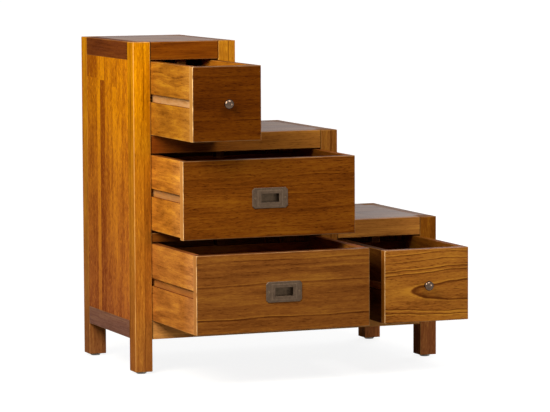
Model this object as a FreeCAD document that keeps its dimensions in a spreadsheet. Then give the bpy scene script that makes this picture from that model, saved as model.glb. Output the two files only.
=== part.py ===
# Step chest with four drawers. Posts and rails are joined by mortise and tenon, panels and step
# tops lie in grooves, and each drawer hangs by the grooves of its sides on two wooden runners.
# Millimetres, x to the right along the front, y to the back, z up. The origin is on the floor
# under the middle of the left front leg. Every piece is drawn in a corner frame, which starts on
# the floor under the left front corner with all drawers shut, and its Placement moves it from there.
import FreeCAD, Part
import os
import Sketcher

sizes = {
    # Carcass
    "post": 40,                  # square posts, which go on down as the legs
    "depth": 360,                # from the front faces of the posts to the back ones
    "tall_opening": 160,         # clear width of the tall column
    "step_run": 245,             # how far each lower step stands out past the one above
    "leg_clear": 72,             # wood of the legs below the bottom rails
    "rail_height": 40,
    "thin_rail_height": 20,      # rail between the two wide drawers
    "rail_thickness": 25,
    "small_opening": 166,        # clear height over the top drawer and the side drawer
    "wide_opening": 176,         # clear height over each wide drawer
    "post_ease": 1.6,            # rounding along the posts
    "leg_bevel": 1,              # bevel round the bottoms of the legs
    "rail_bevel": 1,             # bevel along the rails' outer edges
    # Joints of the carcass
    "tenon": 18,                 # length of the rails' tenons
    "tenon_thickness": 12,
    "tenon_shoulder": 6,         # shoulder over and under a tenon
    "foot_tenon": 18,            # length of the stub tenons under the short posts
    "mortise_gap": 0.5,          # left free past the end of a tenon
    # Panels and step tops
    "panel": 14,                 # thickness of side panels, risers and step tops
    "panel_bevel": 0.6,          # bevel that shows round each panel
    "tongue": 6,                 # thickness of a tongue
    "tongue_reach": 6,           # how far a tongue stands out
    "tongue_set": 4,             # outer face of a panel to its tongue
    "groove_gap": 0.2,           # free room round a tongue in its groove
    "back_panel": 6,             # thickness of the back panels
    "back_inset": 10,            # back faces of the posts to the back panels
    # Glides under the legs
    "glide_height": 5,
    "glide_diameter": 23,
    "glide_bevel": 1.5,
    # Drawers
    "drawer_room": 35,           # free depth behind a shut drawer
    "front_board": 18,           # thickness of the drawer fronts
    "front_ease": 1.5,
    "front_lip": 5,              # the upper wide drawer's front hangs below its sides
    "drawer_board": 15,          # thickness of the sides and backs
    "side_gap": 1.5,             # between a drawer and the posts beside it
    "top_gap": 3,
    "bottom_gap": 2,
    "back_drop": 15,             # backs are lower than the sides, to pass the stop blocks
    "corner_tongue": 5,          # thickness of the tongues that join the sides to the fronts
    "corner_reach": 7,
    "corner_shoulder": 9,
    "corner_set": 1,             # inner face of a side to its tongue
    "back_reach": 4,             # depth of the rebates in the sides for the back
    "bottom_board": 5,           # thickness of the drawer bottoms
    "bottom_rise": 8,            # lower edge of the sides to the bottom board
    "bottom_reach": 4,           # depth of the grooves for the bottom board
    "joint_gap": 0.2,            # free room in the joints of a drawer
    # Runners in the grooves of the drawers' sides
    "side_groove": 6,            # depth of a groove
    "side_groove_height": 18,
    "runner_play": 0.5,          # runner to the floor of its groove
    "runner_lift": 0.3,          # runner to the upper edge of its groove
    "runner_under": 0.6,         # runner to the lower edge of its groove
    "runner_set": 2,             # back of a shut front to the end of a runner
    # Stop blocks under the rails, which the fronts meet when shut
    "stop_width": 19,
    "stop_depth": 20,
    "stop_height": 15,
    "stop_gap": 0.3,
    # Turned metal knobs
    "knob_diameter": 21,
    "knob_neck_diameter": 8,
    "knob_foot_diameter": 12.5,
    "knob_foot": 1.8,            # thickness of the foot disc
    "knob_neck": 5,              # straight part of the neck
    "knob_flare": 5.4,           # length over which the neck opens out to the head
    "knob_rim": 1.6,             # straight edge of the head
    "knob_crown": 5.6,           # rise of the domed face
    "shank_diameter": 4,
    "shank": 13,                 # how far the threaded shank goes into the front
    "shank_gap": 0.2,
    # Flush pulls
    "plate_width": 83,
    "plate_height": 45,
    "plate": 2,                  # thickness
    "plate_corner": 5,           # clipped corners
    "plate_bevel": 0.8,
    "border_width": 57,          # raised border round the finger recess
    "border_height": 33,
    "border": 0.8,
    "border_bevel": 0.5,
    "recess_width": 41,
    "recess_height": 18,
    "recess": 11,                # depth of the finger recess from the border's face
    "cup_wall": 1.5,
    "cup_gap": 0.3,              # between the cup and the wood
}

# How far the top, upper, lower and side drawers stand open, as shares of their length.
open_shares = (0.803, 0.609, 0.852, 0.8)
# Where a stop block is in a small bay and in a wide one, from the left.
small_stop_share, wide_stop_share = 0.5, 0.42
# Where a knob's domed face turns: shares of the head's radius and of the crown's rise.
crown_shares = ((0.64, 0.7), (0.28, 1))

# A sketch counts the parts of a line or circle in this order. Its own origin is item -1.
point_codes = {part: code for code, part in enumerate(("curve", "start", "end", "centre"))}
# Edges count as lying in a face, or along an axis, within these shares.
in_face_share = 1e-6
along_share = 0.99

document = FreeCAD.newDocument("StepChest")
sheet = document.addObject("Spreadsheet::Sheet", "Sizes")
for row, (alias, value) in enumerate(sizes.items(), start=1):
    sheet.set(f"A{row}", alias)
    sheet.set(f"B{row}", str(value))
    sheet.setAlias(f"B{row}", alias)
document.recompute()


class Length:
    # A formula over the sheet and the value that it has now. Sums and shares of lengths are
    # lengths too, so a sketch is drawn at its real size and then bound to its formulas.
    def __init__(self, text, value):
        self.text = text
        self.value = value

    def __str__(self):
        return self.text

    def __add__(self, other):
        return Length(f"({self} + {other})", self.value + value_of(other))

    def __sub__(self, other):
        return Length(f"({self} - {other})", self.value - value_of(other))

    def __neg__(self):
        return Length(f"(0 - {self})", -self.value)

    def __truediv__(self, parts):
        return Length(f"({self} / {parts})", self.value / parts)

    def __mul__(self, times):
        return Length(f"({self} * {times})", self.value * times)


def value_of(length):
    return length.value if isinstance(length, Length) else length


class SheetLengths:
    # Each alias of the sheet as a length, so that lengths.post stands for the cell called post.
    def __getattr__(self, alias):
        return Length(f"Sizes.{alias}", sizes[alias])


lengths = SheetLengths()
zero = Length("0", 0)

# Stations across the front, from the left face of the chest.
tall_right = lengths.post * 2 + lengths.tall_opening
mid_right = tall_right + lengths.step_run
low_right = mid_right + lengths.step_run

# Spans of height of the rails and openings, from the floor up.
wood_foot = lengths.glide_height
bottom_rail = (wood_foot + lengths.leg_clear, wood_foot + lengths.leg_clear + lengths.rail_height)
side_opening = (bottom_rail[1], bottom_rail[1] + lengths.small_opening)
low_rail = (side_opening[1], side_opening[1] + lengths.rail_height)
lower_opening = (bottom_rail[1], bottom_rail[1] + lengths.wide_opening)
thin_rail = (lower_opening[1], lower_opening[1] + lengths.thin_rail_height)
upper_opening = (thin_rail[1], thin_rail[1] + lengths.wide_opening)
mid_rail = (upper_opening[1], upper_opening[1] + lengths.rail_height)
top_opening = (mid_rail[1], mid_rail[1] + lengths.small_opening)
tall_rail = (top_opening[1], top_opening[1] + lengths.rail_height)

# Spans across the front and from front to back.
tall_bay = (lengths.post, tall_right - lengths.post)
wide_bay = (lengths.post, mid_right - lengths.post)
low_bay = (mid_right, low_right - lengths.post)
long_bay = (lengths.post, low_right - lengths.post)
side_bay = (lengths.post, lengths.depth - lengths.post)
front_face = (zero, lengths.rail_thickness)
back_face = (lengths.depth - lengths.rail_thickness, lengths.depth)
drawer_length = lengths.depth - lengths.drawer_room

pieces = {}


def span(low, size):
    return (low, low + size)


def in_span(across, distance, size, right):
    # A span that starts at a distance from the left end of another, or from its right end.
    if right:
        return (across[1] - distance - size, across[1] - distance)
    return span(across[0] + distance, size)


def middle(across):
    return (across[0] + across[1]) / 2


def about(centre, size):
    return (centre - size / 2, centre + size / 2)


def box(x, y, z):
    return {"x": x, "y": y, "z": z}


def grown(shape, **amounts):
    # The same box, with the named spans made longer by an amount at both ends.
    spans = dict(shape)
    for axis, amount in amounts.items():
        low, high = shape[axis]
        spans[axis] = (low - amount, high + amount)
    return spans


def put(body, x, y, z):
    # Moves a piece from the corner frame to the chest's own frame.
    body.setExpression("Placement.Base.x", str(x - lengths.post / 2))
    body.setExpression("Placement.Base.y", str(y - lengths.post / 2))
    body.setExpression("Placement.Base.z", str(z))


def new_piece(name, pulled=zero):
    # An empty body. A drawer's piece is pulled towards the front with its drawer.
    body = document.addObject("PartDesign::Body", name)
    body.Label = name
    body.AllowCompound = True
    put(body, zero, -pulled, zero)
    pieces[name] = body
    return body


def flat_sketch(body, name, role, height):
    # An empty sketch on one of the body's own planes, raised by a height.
    sketch = body.newObject("Sketcher::SketchObject", name)
    plane = next(item for item in body.Origin.OriginFeatures if item.Role == role)
    sketch.AttachmentSupport = [(plane, "")]
    sketch.MapMode = "FlatFace"
    sketch.setExpression("AttachmentOffset.Base.z", str(height))
    return sketch


def hold(sketch, kind, item, end, length):
    # Holds an end of a line or the centre of a circle at a distance from the sketch's origin.
    codes = (-1, point_codes["start"], item, point_codes[end])
    number = sketch.addConstraint(Sketcher.Constraint(kind, *codes, length.value))
    sketch.setExpression(f"Constraints[{number}]", str(length))


def circle(sketch, number, x, y, diameter):
    # Draws a circle as the sketch's item of this number.
    centre = FreeCAD.Vector(x.value, y.value, 0)
    sketch.addGeometry(Part.Circle(centre, FreeCAD.Vector(0, 0, 1), diameter.value / 2))
    hold(sketch, "DistanceX", number, "centre", x)
    hold(sketch, "DistanceY", number, "centre", y)
    size = sketch.addConstraint(Sketcher.Constraint("Diameter", number, diameter.value))
    sketch.setExpression(f"Constraints[{size}]", str(diameter))


def closed_lines(sketch, points):
    # Draws a closed run of straight lines and holds each of its corners.
    places = [FreeCAD.Vector(value_of(x), value_of(y), 0) for x, y in points]
    for place, after in zip(places, places[1:] + places[:1]):
        sketch.addGeometry(Part.LineSegment(place, after))
    for line, (x, y) in enumerate(points):
        codes = (line, point_codes["end"], (line + 1) % len(points), point_codes["start"])
        sketch.addConstraint(Sketcher.Constraint("Coincident", *codes))
        hold(sketch, "DistanceX", line, "start", x)
        hold(sketch, "DistanceY", line, "start", y)


def rectangle(body, name, shape):
    # A sketch of the box's plan, at the height of its underside.
    sketch = flat_sketch(body, name, "XY_Plane", shape["z"][0])
    (left, right), (front, back) = shape["x"], shape["y"]
    closed_lines(sketch, [(left, front), (right, front), (right, back), (left, back)])
    return sketch


def add(body, name, shape):
    # Adds a box of wood or metal to a piece.
    pad = body.newObject("PartDesign::Pad", name)
    pad.Profile = rectangle(body, name + "_outline", shape)
    pad.setExpression("Length", str(shape["z"][1] - shape["z"][0]))
    return pad


def cut(body, name, shape):
    # Cuts a box out of a piece, upwards from the box's underside.
    pocket = body.newObject("PartDesign::Pocket", name)
    pocket.Profile = rectangle(body, name + "_outline", shape)
    pocket.Reversed = True
    pocket.setExpression("Length", str(shape["z"][1] - shape["z"][0]))
    return pocket


def at_side(edge, bounds, side):
    # Whether an edge lies in one side of a bounding box, such as "x_low".
    axis, end = side.split("_")
    limit = getattr(bounds, axis.upper() + ("Min" if end == "low" else "Max"))
    reach = bounds.DiagonalLength * in_face_share
    return all(abs(getattr(vertex.Point, axis) - limit) < reach for vertex in edge.Vertexes)


def dress(body, kind, base, length, chosen):
    # Rounds or bevels the chosen edges of a feature: kind is Fillet or Chamfer.
    document.recompute()
    bounds = base.Shape.BoundBox
    names = [
        f"Edge{number}"
        for number, edge in enumerate(base.Shape.Edges, start=1)
        if chosen(edge, bounds)
    ]
    feature = body.newObject(f"PartDesign::{kind}", kind)
    feature.Base = (base, names)
    feature.setExpression("Radius" if kind == "Fillet" else "Size", str(length))
    return feature


def upright(edge, bounds):
    return abs(edge.tangentAt(edge.FirstParameter).z) > along_share


def along_depth(edge, bounds):
    return abs(edge.tangentAt(edge.FirstParameter).y) > along_share


def on_sides(*sides):
    # Chooses the edges that lie in any of these sides.
    return lambda edge, bounds: any(at_side(edge, bounds, side) for side in sides)


def on_long_edges(outer):
    # Chooses the upper and lower edges of an outer face.
    def chosen(edge, bounds):
        at_end = at_side(edge, bounds, "z_low") or at_side(edge, bounds, "z_high")
        return at_side(edge, bounds, outer) and at_end

    return chosen


# Posts. The full posts stand on the glides, and the short ones on a rail with a stub tenon.
post_plans = {
    "left": span(zero, lengths.post),
    "tall": span(tall_right - lengths.post, lengths.post),
    "mid": span(mid_right - lengths.post, lengths.post),
    "right": span(low_right - lengths.post, lengths.post),
}
post_rows = {
    "front": span(zero, lengths.post),
    "rear": span(lengths.depth - lengths.post, lengths.post),
}
post_heights = {
    "left": (wood_foot, tall_rail[1]),
    "tall": (mid_rail[1], tall_rail[1]),
    "mid": (bottom_rail[1], mid_rail[1]),
    "right": (wood_foot, low_rail[1]),
}
post_boxes = {
    (row, column): box(post_plans[column], post_rows[row], post_heights[column])
    for row in post_rows
    for column in post_plans
}
rail_rows = {"front": front_face, "rear": back_face}
tenon_cheek = (lengths.rail_thickness - lengths.tenon_thickness) / 2


def foot_tenon(row, column):
    # The stub tenon under a short post, in the middle of the rail's thickness.
    shape = post_boxes[row, column]
    low, high = rail_rows[row]
    return box(
        (shape["x"][0] + lengths.tenon_shoulder, shape["x"][1] - lengths.tenon_shoulder),
        (low + tenon_cheek, high - tenon_cheek),
        (shape["z"][0] - lengths.foot_tenon, shape["z"][0]),
    )


posts = {}
for (row, column), shape in post_boxes.items():
    post = new_piece(f"{row}_{column}_post")
    stick = add(post, "stick", shape)
    rounded = dress(post, "Fillet", stick, lengths.post_ease, upright)
    if column in ("tall", "mid"):
        add(post, "foot_tenon", foot_tenon(row, column))
    else:
        dress(post, "Chamfer", rounded, lengths.leg_bevel, on_sides("z_low"))
    posts[row, column] = post


def make_rail(name, shape, outer):
    # A rail with a tenon at each end, its outer long edges bevelled. Its length runs between the
    # posts, along x in the front and the back and along y in the sides.
    along = "y" if outer.startswith("x") else "x"
    across = "x" if along == "y" else "y"
    rail = new_piece(name)
    stick = add(rail, "stick", shape)
    dress(rail, "Chamfer", stick, lengths.rail_bevel, on_long_edges(outer))
    tenon = grown(shape, z=-lengths.tenon_shoulder, **{along: lengths.tenon, across: -tenon_cheek})
    add(rail, "tenons", tenon)
    return rail, grown(tenon, **{along: lengths.mortise_gap})


def join(name, shape, outer, ends):
    # Makes a rail and cuts its mortises into the posts at its ends.
    rail, mortise = make_rail(name, shape, outer)
    for end in ends:
        cut(posts[end], f"mortise_of_{name}", mortise)
    return rail


rails = {}
for row, depth_span, outer in (("front", front_face, "y_low"), ("rear", back_face, "y_high")):
    for level, bay, height, columns in (
        ("top", tall_bay, tall_rail, ("left", "tall")),
        ("mid", wide_bay, mid_rail, ("left", "mid")),
        ("low", low_bay, low_rail, ("mid", "right")),
        ("bottom", long_bay, bottom_rail, ("left", "right")),
    ):
        ends = [(row, column) for column in columns]
        rail = join(f"{row}_{level}_rail", box(bay, depth_span, height), outer, ends)
        rails[row, level] = rail
join(
    "front_thin_rail", box(wide_bay, front_face, thin_rail), "y_low",
    [("front", "left"), ("front", "mid")],
)
for level, column, outer, height in (
    ("left_top", "left", "x_low", tall_rail),
    ("left_bottom", "left", "x_low", bottom_rail),
    ("tall_riser", "tall", "x_high", tall_rail),
    ("mid_riser", "mid", "x_high", mid_rail),
    ("right_top", "right", "x_high", low_rail),
    ("right_bottom", "right", "x_high", bottom_rail),
):
    across = in_span(post_plans[column], zero, lengths.rail_thickness, outer == "x_high")
    ends = [("front", column), ("rear", column)]
    rails["side", level] = join(f"{level}_rail", box(across, side_bay, height), outer, ends)

for row in ("front", "rear"):
    for level, column in (("mid", "tall"), ("bottom", "mid")):
        mortise = grown(foot_tenon(row, column), z=lengths.mortise_gap)
        cut(rails[row, level], "post_mortise", mortise)


def let_in(name, tongue, holders):
    # Cuts a groove for a tongue into each piece that holds it.
    gap = lengths.groove_gap
    for holder in holders:
        cut(holder, f"groove_of_{name}", grown(tongue, x=gap, y=gap, z=gap))


def upright_panel(name, column, outer, height, below, holders):
    # A side panel or riser between a column's posts, flush with their outer faces. Its tongue
    # goes into the posts and the rail above, and reaches below as far as it is told to.
    right = outer == "x_high"
    plan = post_plans[column]
    board = new_piece(name)
    body = add(board, "board", box(in_span(plan, zero, lengths.panel, right), side_bay, height))
    dress(board, "Chamfer", body, lengths.panel_bevel, on_sides(outer))
    tongue = box(
        in_span(plan, lengths.tongue_set, lengths.tongue, right),
        (side_bay[0] - lengths.tongue_reach, side_bay[1] + lengths.tongue_reach),
        (height[0] - below, height[1] + lengths.tongue_reach),
    )
    add(board, "tongue", tongue)
    let_in(name, tongue, [posts["front", column], posts["rear", column]] + holders)
    return board


def step_top(name, across, height, columns, holders):
    # A step's top, flush with the rails round it and notched round the posts at its corners. The
    # lower steps' tops go into the riser beside them.
    between = (front_face[1], back_face[0])
    board = new_piece(name)
    body = add(board, "board", box(across, between, (height - lengths.panel, height)))
    dress(board, "Chamfer", body, lengths.panel_bevel, on_sides("z_high"))
    tongue = box(
        (across[0] - lengths.tongue_reach, across[1] + lengths.tongue_reach),
        (between[0] - lengths.tongue_reach, between[1] + lengths.tongue_reach),
        span(height - lengths.tongue_set - lengths.tongue, lengths.tongue),
    )
    add(board, "tongue", tongue)
    for row in post_rows:
        for column in columns:
            cut(board, "notch", grown(post_boxes[row, column], z=lengths.panel))
    let_in(name, tongue, holders)
    return board


def back_panel(name, bay, height, columns, levels):
    # A thin back panel in grooves all round.
    face = lengths.depth - lengths.back_inset
    shape = box(bay, (face - lengths.back_panel, face), height)
    shape = grown(shape, x=lengths.tongue_reach, z=lengths.tongue_reach)
    add(new_piece(name), "board", shape)
    holders = [posts["rear", column] for column in columns]
    let_in(name, shape, holders + [rails["rear", level] for level in levels])


inner = lengths.rail_thickness
upright_panel(
    "left_side_panel", "left", "x_low", (bottom_rail[1], tall_rail[0]), lengths.tongue_reach,
    [rails["side", "left_top"], rails["side", "left_bottom"]],
)
upright_panel(
    "right_side_panel", "right", "x_high", (bottom_rail[1], low_rail[0]), lengths.tongue_reach,
    [rails["side", "right_top"], rails["side", "right_bottom"]],
)
mid_riser = upright_panel(
    "mid_riser_panel", "mid", "x_high", (bottom_rail[1], mid_rail[0]), zero,
    [rails["side", "mid_riser"]],
)
tall_riser = upright_panel(
    "tall_riser_panel", "tall", "x_high", (mid_rail[1] - lengths.panel, tall_rail[0]), zero,
    [rails["side", "tall_riser"]],
)
step_top(
    "tall_step_top", (inner, tall_right - inner), tall_rail[1], ("left", "tall"),
    [rails["front", "top"], rails["rear", "top"], rails["side", "left_top"], rails["side", "tall_riser"]],
)
step_top(
    "mid_step_top", (tall_right, mid_right - inner), mid_rail[1], ("tall", "mid"),
    [rails["front", "mid"], rails["rear", "mid"], rails["side", "mid_riser"], tall_riser],
)
step_top(
    "low_step_top", (mid_right, low_right - inner), low_rail[1], ("mid", "right"),
    [rails["front", "low"], rails["rear", "low"], rails["side", "right_top"], mid_riser],
)
back_panel("tall_back_panel", tall_bay, top_opening, ("left", "tall"), ("top", "mid"))
back_panel("wide_back_panel", wide_bay, (bottom_rail[1], mid_rail[0]), ("left", "mid"), ("mid", "bottom"))
back_panel("low_back_panel", low_bay, side_opening, ("mid", "right"), ("low", "bottom"))

# Glides: four round plastic feet, one under the middle of each leg.
glides = new_piece("leg_glides")
discs = flat_sketch(glides, "discs", "XY_Plane", zero)
leg_centres = [
    (middle(post_plans[column]), middle(post_rows[row]))
    for column in ("left", "right")
    for row in post_rows
]
for number, (x, y) in enumerate(leg_centres):
    circle(discs, number, x, y, lengths.glide_diameter)
disc_pad = glides.newObject("PartDesign::Pad", "disc")
disc_pad.Profile = discs
disc_pad.setExpression("Length", str(lengths.glide_height))
dress(glides, "Chamfer", disc_pad, lengths.glide_bevel, on_sides("z_low"))


def make_knob(name, x, pulled, z):
    # A turned knob with a flared neck and a domed face, drawn as half its profile: the sketch's x
    # is the radius, and its y runs back into the wood.
    knob = new_piece(name)
    put(knob, x, -pulled, z)
    radius = lengths.knob_diameter / 2
    neck = lengths.knob_neck_diameter / 2
    foot = lengths.knob_foot_diameter / 2
    shank = lengths.shank_diameter / 2
    neck_end = -(lengths.knob_foot + lengths.knob_neck)
    rim_start = neck_end - lengths.knob_flare
    rim_end = rim_start - lengths.knob_rim
    outline = [
        (zero, lengths.shank),
        (shank, lengths.shank),
        (shank, zero),
        (foot, zero),
        (foot, -lengths.knob_foot),
        (neck, -lengths.knob_foot),
        (neck, neck_end),
        (radius, rim_start),
        (radius, rim_end),
        *((radius * out, rim_end - lengths.knob_crown * on) for out, on in crown_shares),
        (zero, rim_end - lengths.knob_crown),
    ]
    profile = flat_sketch(knob, "profile", "XY_Plane", zero)
    closed_lines(profile, outline)
    turned = knob.newObject("PartDesign::Revolution", "turned")
    turned.Profile = profile
    turned.ReferenceAxis = (profile, ["V_Axis"])


def bore(body, name, x, z, diameter, depth):
    # A round hole in the front face of a drawer, straight back into the wood.
    sketch = flat_sketch(body, name + "_outline", "XZ_Plane", zero)
    circle(sketch, 0, x, z, diameter)
    pocket = body.newObject("PartDesign::Pocket", name)
    pocket.Profile = sketch
    pocket.setExpression("Length", str(depth))


def make_pull(name, x, pulled, z):
    # A flush pull, drawn round the middle of its back face: a plate with clipped corners, a raised
    # border, and a cup that goes into the wood and leaves room for the fingertips.
    pull = new_piece(name)
    put(pull, x, -pulled, z)
    face = -lengths.plate - lengths.border
    floor = face + lengths.recess
    plate = add(pull, "plate", box(
        about(zero, lengths.plate_width), (-lengths.plate, zero), about(zero, lengths.plate_height)
    ))
    clipped = dress(pull, "Chamfer", plate, lengths.plate_corner, along_depth)
    dress(pull, "Chamfer", clipped, lengths.plate_bevel, on_sides("y_low"))
    add(pull, "border", box(
        about(zero, lengths.border_width), (face, zero), about(zero, lengths.border_height)
    ))
    add(pull, "cup", box(
        about(zero, lengths.recess_width + lengths.cup_wall * 2),
        (face, floor + lengths.cup_wall),
        about(zero, lengths.recess_height + lengths.cup_wall * 2),
    ))
    hollow = cut(pull, "recess", box(
        about(zero, lengths.recess_width), (face, floor), about(zero, lengths.recess_height)
    ))
    dress(pull, "Chamfer", hollow, lengths.border_bevel, on_sides("y_low"))
    return box(
        about(x, lengths.recess_width + (lengths.cup_wall + lengths.cup_gap) * 2),
        (zero, floor + lengths.cup_wall + lengths.cup_gap),
        about(z, lengths.recess_height + (lengths.cup_wall + lengths.cup_gap) * 2),
    )


runners = new_piece("drawer_runners")
stops = new_piece("stop_blocks")


def make_drawer(name, bay, opening, lip, handle, open_share):
    # A box with a tongued front, rebated back and a bottom in grooves, with the runners beside it
    # and the stop block over it. Its front hangs below its sides by the lip.
    pulled = drawer_length * open_share
    across = (bay[0] + lengths.side_gap, bay[1] - lengths.side_gap)
    height = (opening[0] + lengths.bottom_gap, opening[1] - lengths.top_gap)
    side_height = (height[0] + lip, height[1])
    length = (lengths.front_board, drawer_length)
    front = new_piece(f"{name}_front", pulled)
    board = add(front, "board", box(across, (zero, lengths.front_board), height))
    dress(front, "Fillet", board, lengths.front_ease, on_sides("y_low"))

    bottom_in = lengths.drawer_board - lengths.bottom_reach
    bottom = box(
        (across[0] + bottom_in, across[1] - bottom_in),
        (lengths.front_board - lengths.bottom_reach, drawer_length - bottom_in),
        span(side_height[0] + lengths.bottom_rise, lengths.bottom_board),
    )
    back_in = lengths.drawer_board - lengths.back_reach
    back = box(
        (across[0] + back_in, across[1] - back_in),
        (drawer_length - lengths.drawer_board, drawer_length),
        (side_height[0], height[1] - lengths.back_drop),
    )
    groove = about(middle(side_height), lengths.side_groove_height)
    tongue_in = lengths.drawer_board - lengths.corner_set - lengths.corner_tongue
    holders = [front]
    for hand, right in (("left", False), ("right", True)):
        side = new_piece(f"{name}_{hand}_side", pulled)
        add(side, "board", box(in_span(across, zero, lengths.drawer_board, right), length, side_height))
        tongue = box(
            in_span(across, tongue_in, lengths.corner_tongue, right),
            (lengths.front_board - lengths.corner_reach, lengths.front_board),
            (side_height[0] + lengths.corner_shoulder, side_height[1] - lengths.corner_shoulder),
        )
        add(side, "tongue", tongue)
        cut(front, f"{hand}_groove", grown(tongue, y=lengths.joint_gap))
        cut(side, "runner_groove", box(in_span(across, zero, lengths.side_groove, right), length, groove))
        cut(side, "rebate", grown(back, x=lengths.joint_gap))
        add(runners, f"{name}_{hand}", box(
            in_span(bay, zero, lengths.side_gap + lengths.side_groove - lengths.runner_play, right),
            (lengths.front_board + lengths.runner_set, lengths.depth - lengths.rail_thickness),
            (groove[0] + lengths.runner_under, groove[1] - lengths.runner_lift),
        ))
        holders.append(side)
    back_board = new_piece(f"{name}_back", pulled)
    add(back_board, "board", back)
    holders.append(back_board)
    bottom_board = new_piece(f"{name}_bottom", pulled)
    add(bottom_board, "board", bottom)
    for holder in holders:
        cut(holder, "bottom_groove", grown(bottom, x=lengths.joint_gap, y=lengths.joint_gap))
    stop_share = small_stop_share if handle == "knob" else wide_stop_share
    stop_place = bay[0] + (bay[1] - bay[0]) * stop_share
    add(stops, name, box(
        about(stop_place, lengths.stop_width),
        span(lengths.front_board + lengths.stop_gap, lengths.stop_depth),
        (opening[1] - lengths.stop_height, opening[1]),
    ))

    x = middle(across)
    z = middle(height)
    if handle == "knob":
        make_knob(f"{name}_knob", x, pulled, z)
        width = lengths.shank_diameter + lengths.shank_gap * 2
        bore(front, "knob_hole", x, z, width, lengths.shank + lengths.shank_gap)
    else:
        cut(front, "cup_pocket", make_pull(f"{name}_pull", x, pulled, z))


drawers = (
    ("top_drawer", tall_bay, top_opening, zero, "knob"),
    ("upper_drawer", wide_bay, upper_opening, lengths.front_lip, "pull"),
    ("lower_drawer", wide_bay, lower_opening, zero, "pull"),
    ("side_drawer", low_bay, side_opening, zero, "knob"),
)
for drawer, open_share in zip(drawers, open_shares):
    make_drawer(*drawer, open_share)

document.recompute()
for item in document.Objects:
    if "Invalid" in item.State or "Error" in item.State:
        raise SystemExit(f"{item.Label} failed: {item.State}")
    if item.TypeId == "PartDesign::Pocket" and item.Shape.Volume >= item.BaseFeature.Shape.Volume:
        raise SystemExit(f"{item.Name} cuts nothing")
for name, body in pieces.items():
    if body.Shape.isNull() or not body.Shape.isValid():
        raise SystemExit(f"{name} has no valid shape")

os.makedirs("parts", exist_ok=True)
for name, body in pieces.items():
    body.Shape.exportStep(f"parts/{name}.step")
print(f"{len(pieces)} pieces, {sum(len(body.Shape.Solids) for body in pieces.values())} solids")
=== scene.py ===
import math
from types import SimpleNamespace

import bmesh
import bpy
from mathutils import Matrix, Vector


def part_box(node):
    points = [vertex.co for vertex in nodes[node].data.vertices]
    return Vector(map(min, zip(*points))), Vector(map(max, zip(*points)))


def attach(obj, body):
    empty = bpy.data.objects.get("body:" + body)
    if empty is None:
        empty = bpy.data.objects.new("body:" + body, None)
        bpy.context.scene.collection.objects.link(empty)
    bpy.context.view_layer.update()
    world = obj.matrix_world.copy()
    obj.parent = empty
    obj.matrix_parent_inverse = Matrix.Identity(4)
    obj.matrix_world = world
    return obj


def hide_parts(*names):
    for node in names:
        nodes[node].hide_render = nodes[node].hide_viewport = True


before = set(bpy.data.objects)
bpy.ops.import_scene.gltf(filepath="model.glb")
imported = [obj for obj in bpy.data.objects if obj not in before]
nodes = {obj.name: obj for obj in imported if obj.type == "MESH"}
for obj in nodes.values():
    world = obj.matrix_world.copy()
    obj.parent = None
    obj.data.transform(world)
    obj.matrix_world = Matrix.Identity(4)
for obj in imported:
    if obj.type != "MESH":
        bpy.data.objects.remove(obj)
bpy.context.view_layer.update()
print("frame loaded:", len(nodes), "nodes")

millimetre = 0.001
facingShare = 0.8                  # a face looks along a direction when its normal has this much of it


def linear(hexColour):  # sRGB hex to the linear colour that a shader works in
    parts = [int(hexColour[place:place + 2], 16) / 255 for place in (1, 3, 5)]
    return [*(part / 12.92 if part < 0.04045 else ((part + 0.055) / 1.055) ** 2.4 for part in parts), 1]


def addNode(tree, kind, links=None, **settings):
    made = tree.nodes.new("ShaderNode" + kind)
    for name, value in settings.items():
        setattr(made, name, value)
    for socket, value in (links or {}).items():
        if isinstance(value, bpy.types.NodeSocket):
            tree.links.new(value, made.inputs[socket])
        else:
            made.inputs[socket].default_value = value
    return made


def newMaterial(name, surface):
    material = bpy.data.materials.new(name)
    material.use_nodes = True
    tree = material.node_tree
    shader = tree.nodes["Principled BSDF"]
    for socket, value in surface.items():
        shader.inputs[socket].default_value = value
    return material, tree, shader


def paint(name, material):
    slots = nodes[name].data.materials
    slots.clear()
    slots.append(material)


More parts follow.
